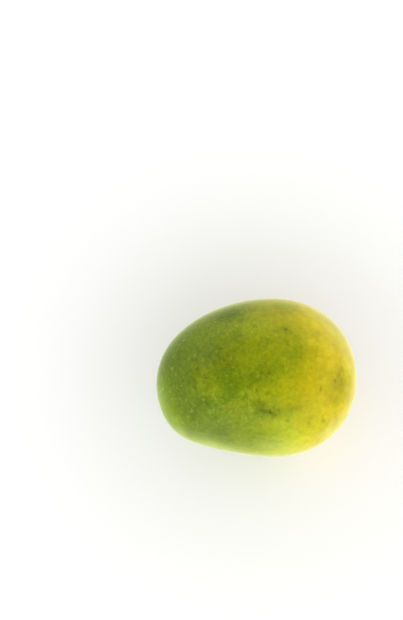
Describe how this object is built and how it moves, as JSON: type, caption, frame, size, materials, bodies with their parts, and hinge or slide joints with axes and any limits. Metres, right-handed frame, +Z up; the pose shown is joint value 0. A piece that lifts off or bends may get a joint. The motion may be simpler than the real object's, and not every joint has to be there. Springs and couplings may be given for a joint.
{
  "type": "himsagar mango",
  "caption": "Whole ripening himsagar mango, green turning golden at its stem end, lying on its cheek with the dry stub of its stalk.",
  "frame": {"origin": "On the surface that the mango rests on, under the middle of its box.", "axes": "+X along the fruit to its broad stem end, +Y to its rounded back edge, away from the belly edge and its sinus, and +Z up from the cheek that it lies on."},
  "size_m": [0.093, 0.0744, 0.0651],
  "materials": {
    "mango_skin": "satin",
    "dry_stalk": "matte"
  },
  "bodies": {
    "root": {"fruit": "mango_skin", "stem": "dry_stalk"}
  },
  "joints": []
}
